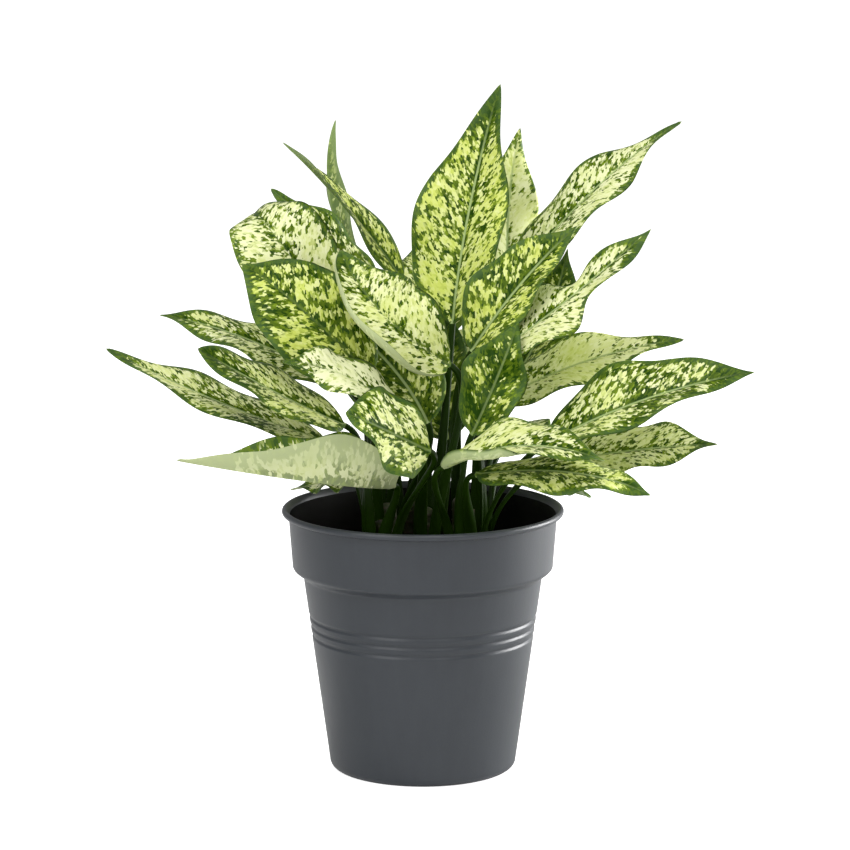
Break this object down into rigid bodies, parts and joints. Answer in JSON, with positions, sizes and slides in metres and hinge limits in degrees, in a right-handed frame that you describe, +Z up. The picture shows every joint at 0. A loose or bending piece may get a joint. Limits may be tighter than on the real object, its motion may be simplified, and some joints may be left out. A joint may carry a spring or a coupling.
{
  "type": "potted chinese evergreen",
  "caption": "Bushy foliage plant with lance-shaped cream and green leaves on upright stalks, in a tapered round plastic pot filled with soil.",
  "frame": {"origin": "centre of the pot's foot, on the surface it stands on", "axes": "+Z up along the pot's axis, -Y to the plant's front as pictured, +X to the viewer's right"},
  "size_m": [0.3824, 0.3083, 0.4103],
  "materials": {
    "pot": "satin charcoal plastic",
    "soil": "damp crumbly peat",
    "cane": "green stem with ring scars",
    "leaf": "waxy leaf, green with cream patches"
  },
  "bodies": {
    "root": {"pot": "pot", "soil": "soil", "cane_back": "cane", "cane_left_back": "cane", "cane_left_front": "cane", "cane_middle": "cane", "cane_outer_back": "cane", "cane_right_back": "cane", "cane_right_front": "cane", "leaf_back_left": "leaf", "leaf_behind_right": "leaf", "leaf_big_left": "leaf", "leaf_big_right": "leaf", "leaf_facing_left": "leaf", "leaf_far_left": "leaf", "leaf_flat_right": "leaf", "leaf_folded_right": "leaf", "leaf_front": "leaf", "leaf_front_left": "leaf", "leaf_high_right": "leaf", "leaf_inner_left": "leaf", "leaf_inside_left": "leaf", "leaf_inside_middle": "leaf", "leaf_low_left": "leaf", "leaf_low_right": "leaf", "leaf_lowest_right": "leaf", "leaf_middle_right": "leaf", "leaf_narrow_left": "leaf", "leaf_out_left": "leaf", "leaf_pale_back": "leaf", "leaf_rear_high": "leaf", "leaf_rear_left": "leaf", "leaf_rear_low": "leaf", "leaf_rear_low_left": "leaf", "leaf_rear_low_right": "leaf", "leaf_rear_right": "leaf", "leaf_tall": "leaf", "leaf_thin_left": "leaf", "leaf_tip_left": "leaf", "leaf_under_left": "leaf", "leaf_under_right": "leaf", "leaf_wavy_right": "leaf", "leaf_white_left": "leaf"}
  },
  "joints": []
}
